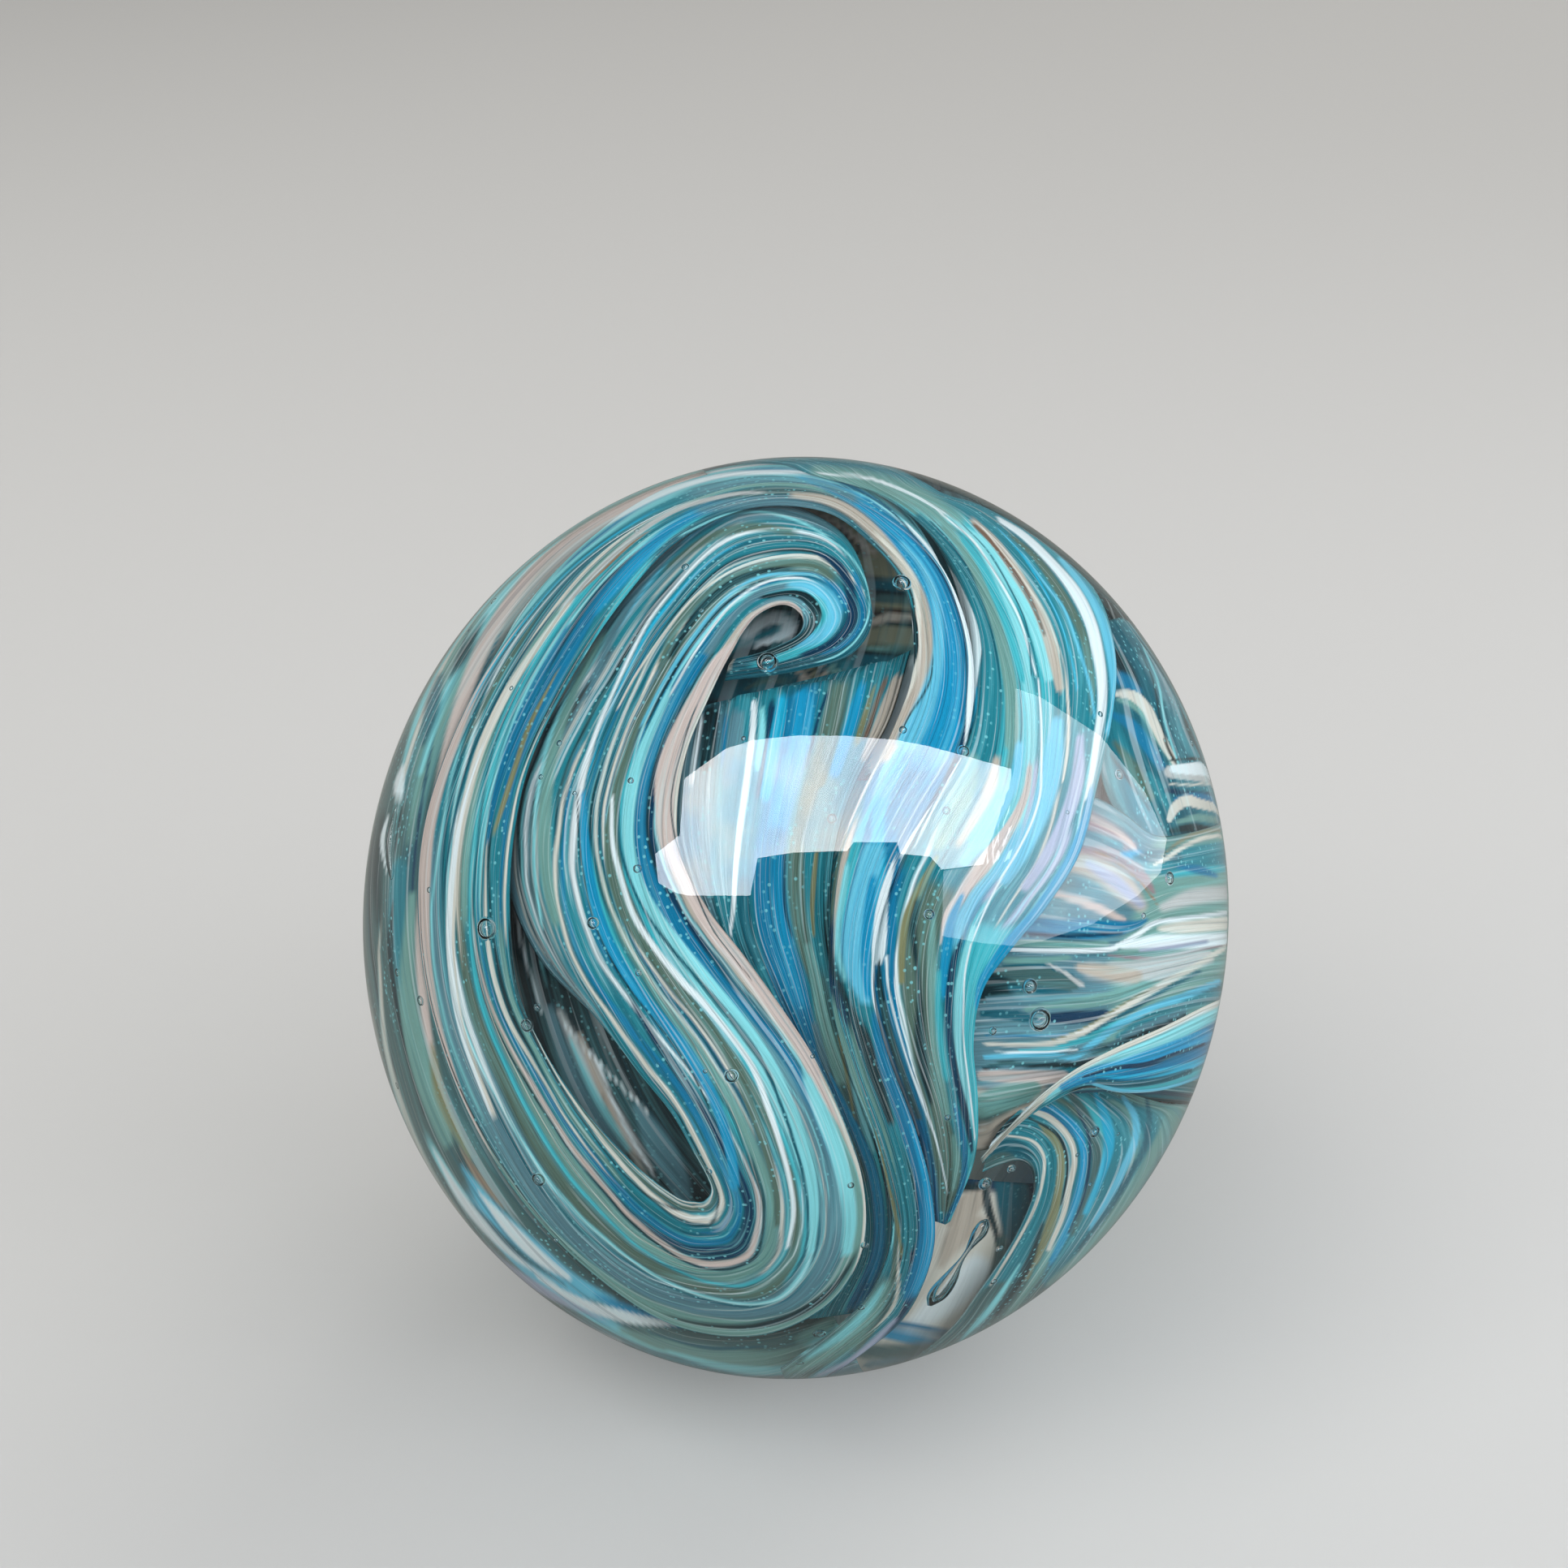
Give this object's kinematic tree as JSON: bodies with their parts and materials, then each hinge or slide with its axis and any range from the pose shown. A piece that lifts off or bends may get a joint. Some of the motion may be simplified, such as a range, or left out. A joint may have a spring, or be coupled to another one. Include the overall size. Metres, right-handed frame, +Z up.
{
  "type": "glass marble",
  "caption": "Large handmade glass marble, slightly egg shaped, clear glass round folded ribbons of coloured glass with small air bubbles.",
  "frame": {"origin": "centre of the ball, which is the centre of its box", "axes": "+Z up, near the ball's long axis, which leans 6.3 degrees from it towards +X; -Y is the front, where the long folded ribbon shows"},
  "size_m": [0.06, 0.06, 0.0652],
  "materials": {
    "clear_glass": "clear, fire polished",
    "folded_ribbon": "streaked teal, cream and turquoise, opaque",
    "veil": "turquoise with cream and blue lines",
    "curtain": "teal blue with a white lip",
    "flank_bands": "grey-green and cream bands",
    "side_fan": "white, beige and blue strands",
    "side_fin": "deep blue with a cream edge",
    "corner_fold": "nested teal, gold-green and cream arches",
    "crest_bands": "grey-blue bands with cream strands",
    "inner_folds": "dark grey-green",
    "pale_pocket": "pale beige streaked with blue",
    "back_ribbons": "streaked teal and turquoise"
  },
  "bodies": {
    "root": {"clear_glass": "clear_glass", "folded_ribbon": "folded_ribbon", "veil": "veil", "curtain": "curtain", "flank_bands": "flank_bands", "side_fan": "side_fan", "side_fin": "side_fin", "corner_fold": "corner_fold", "crest_bands": "crest_bands", "inner_folds": "inner_folds", "pale_pocket": "pale_pocket", "back_ribbons": "back_ribbons"}
  },
  "joints": []
}
